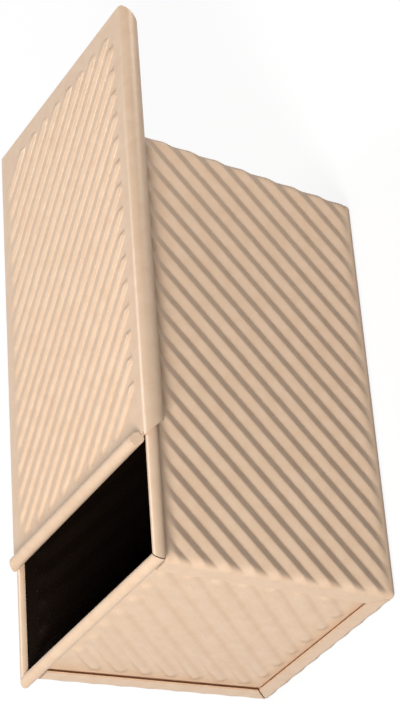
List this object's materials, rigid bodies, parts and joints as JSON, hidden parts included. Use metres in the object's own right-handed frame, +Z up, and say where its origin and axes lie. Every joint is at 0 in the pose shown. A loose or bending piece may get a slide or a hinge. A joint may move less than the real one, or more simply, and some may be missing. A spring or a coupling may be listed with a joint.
{
  "type": "pullman loaf pan",
  "caption": "Tall ridged loaf pan with folded end panels and a ribbed lid that slides on its rolled rims.",
  "frame": {"origin": "middle of the base, on the plane that its ridges rest on", "axes": "+X along the pan, the way the lid slides open; +Y across it; +Z up"},
  "size_m": [0.274, 0.13, 0.1224],
  "materials": {
    "coated_steel": "champagne gold non-stick coating, satin with a faint grain",
    "wire": "bare drawn steel wire"
  },
  "bodies": {
    "pan": {"body_sheet": "coated_steel", "near_end_panel": "coated_steel", "far_end_panel": "coated_steel", "rim_wire": "wire"},
    "lid": {"lid": "coated_steel"}
  },
  "joints": [
    {"name": "lid_slide", "type": "slide", "parent": "pan", "child": "lid", "axis": [1, 0, 0], "range_m": [-0.056, 0.16]}
  ]
}
